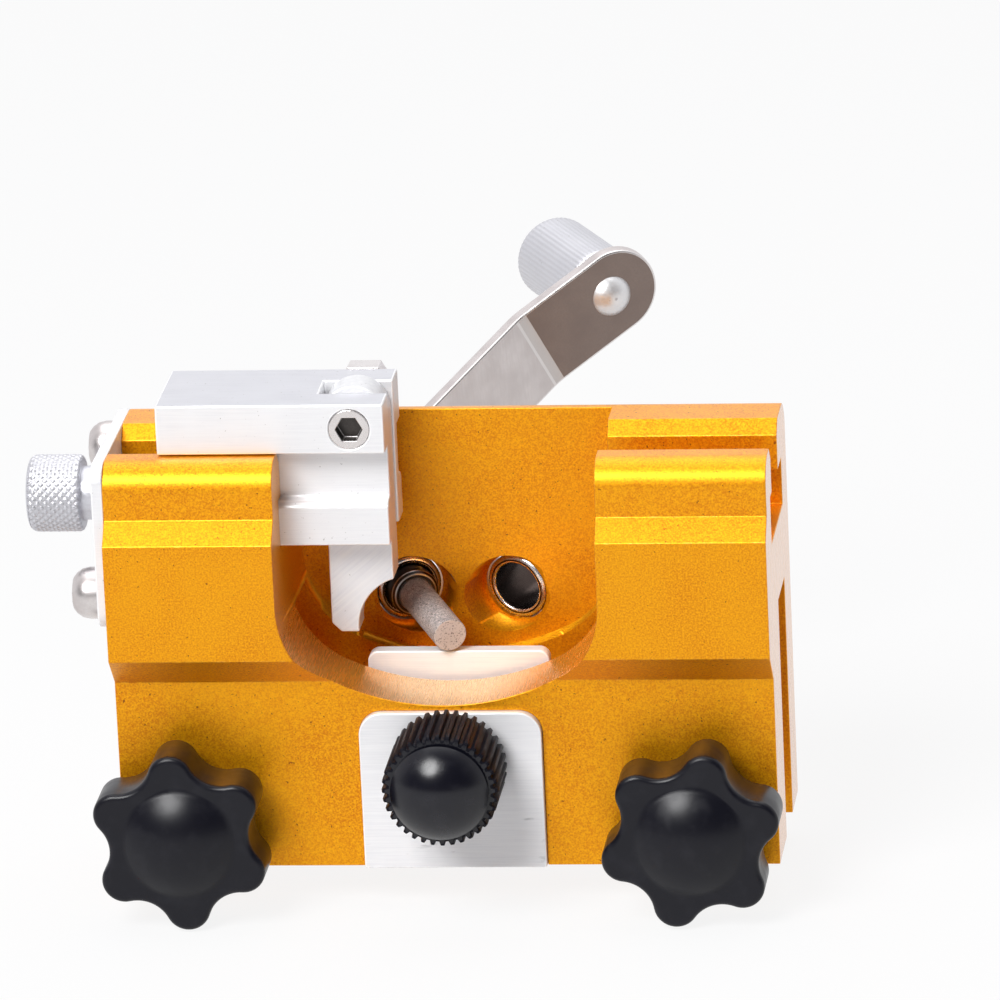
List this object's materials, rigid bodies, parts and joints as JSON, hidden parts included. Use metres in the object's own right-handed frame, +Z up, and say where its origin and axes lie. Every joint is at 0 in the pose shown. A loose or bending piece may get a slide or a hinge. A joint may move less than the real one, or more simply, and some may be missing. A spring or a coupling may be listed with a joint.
{
  "type": "manual chainsaw sharpener",
  "caption": "Hand-crank chainsaw sharpener: slotted metal body that clamps on a guide bar, with an angled grinding spindle, a tooth-stop slide and screw clamps.",
  "frame": {"origin": "on the bar plane at the mouth of the bar slot, at mid length of the body", "axes": "+X along the guide bar to the right, +Y from the clamp knobs to the crank side, +Z up out of the saw"},
  "size_m": [0.0973, 0.1077, 0.067],
  "materials": {
    "anodised_body": "orange anodised, fine grain",
    "bare_aluminium": "bare, machined",
    "steel": "bright",
    "dark_steel": "dark",
    "black_plastic": "semi-gloss",
    "abrasive": "gritty"
  },
  "bodies": {
    "body": {"body_extrusion": "anodised_body", "end_plate": "bare_aluminium", "end_plate_screw_lower": "bare_aluminium", "end_plate_screw_upper": "bare_aluminium", "left_bush": "steel", "right_bush": "steel", "thread_plate": "bare_aluminium"},
    "thumb_screw": {"thumb_screw": "bare_aluminium", "thumb_screw_clip": "steel"},
    "slide": {"slide_block": "bare_aluminium", "pawl_pivot_screw": "steel", "pawl_pivot_nut": "steel"},
    "pawl": {"pawl": "bare_aluminium"},
    "feed": {"feed_collar": "dark_steel"},
    "crank": {"spindle": "dark_steel", "grinding_stone": "abrasive", "crank_arm": "steel", "crank_washer": "steel", "crank_screw": "steel", "handle_rivet": "bare_aluminium"},
    "handle": {"handle_grip": "bare_aluminium"},
    "left_shoe": {"left_clamp_shoe": "steel"},
    "left_knob": {"left_star_knob": "black_plastic", "left_clamp_stud": "steel"},
    "right_shoe": {"right_clamp_shoe": "steel"},
    "right_knob": {"right_star_knob": "black_plastic", "right_clamp_stud": "steel"},
    "chain_pad": {"chain_clamp_pad": "bare_aluminium"},
    "chain_knob": {"chain_clamp_knob": "black_plastic", "chain_clamp_screw": "steel"}
  },
  "joints": [
    {"name": "thumb_screw_turn", "type": "hinge", "parent": "body", "child": "thumb_screw", "pos_m": [-0.05, -0.0037, 0.04715], "axis": [1, 0, 0], "range_deg": [-2700, 1890]},
    {"name": "slide_travel", "type": "slide", "parent": "body", "child": "slide", "axis": [1, 0, 0], "range_m": [-0.0035, 0.005]},
    {"name": "pawl_swing", "type": "hinge", "parent": "slide", "child": "pawl", "pos_m": [-0.011, -0.0037, 0.0578], "axis": [0, -1, 0], "range_deg": [0, 170]},
    {"name": "spindle_feed", "type": "slide", "parent": "body", "child": "feed", "axis": [0.4203, -0.9013, -0.1045], "range_m": [-0.01, 0.005]},
    {"name": "crank_turn", "type": "hinge", "parent": "feed", "child": "crank", "pos_m": [-0.006, 0.0081, 0.0292], "axis": [0.4203, -0.9013, -0.1045], "continuous": true},
    {"name": "handle_spin", "type": "hinge", "parent": "crank", "child": "handle", "pos_m": [0.01535, 0.05743, 0.05508], "axis": [-0.5033, 0.8624, 0.054], "continuous": true},
    {"name": "left_clamp_travel", "type": "slide", "parent": "body", "child": "left_shoe", "axis": [0, 1, 0], "range_m": [-0.002, 0.0025]},
    {"name": "left_knob_turn", "type": "hinge", "parent": "left_shoe", "child": "left_knob", "pos_m": [-0.0337, -0.01815, 0.0067], "axis": [0, 1, 0], "range_deg": [-756, 945]},
    {"name": "right_clamp_travel", "type": "slide", "parent": "body", "child": "right_shoe", "axis": [0, 1, 0], "range_m": [-0.002, 0.0025]},
    {"name": "right_knob_turn", "type": "hinge", "parent": "right_shoe", "child": "right_knob", "pos_m": [0.032, -0.01815, 0.0067], "axis": [0, 1, 0], "range_deg": [-756, 945]},
    {"name": "chain_clamp_travel", "type": "slide", "parent": "body", "child": "chain_pad", "axis": [0, 1, 0], "range_m": [-0.0008, 0.0015]},
    {"name": "chain_knob_turn", "type": "hinge", "parent": "chain_pad", "child": "chain_knob", "pos_m": [0.0007, -0.01775, 0.0148], "axis": [0, 1, 0], "range_deg": [-378, 709]}
  ],
  "couplings": [
    {"joint": "thumb_screw_turn", "follows": "slide_travel", "rad_per_m": -8976},
    {"joint": "left_knob_turn", "follows": "left_clamp_travel", "rad_per_m": 6283.2},
    {"joint": "right_knob_turn", "follows": "right_clamp_travel", "rad_per_m": 6283.2},
    {"joint": "chain_knob_turn", "follows": "chain_clamp_travel", "rad_per_m": 7854}
  ]
}
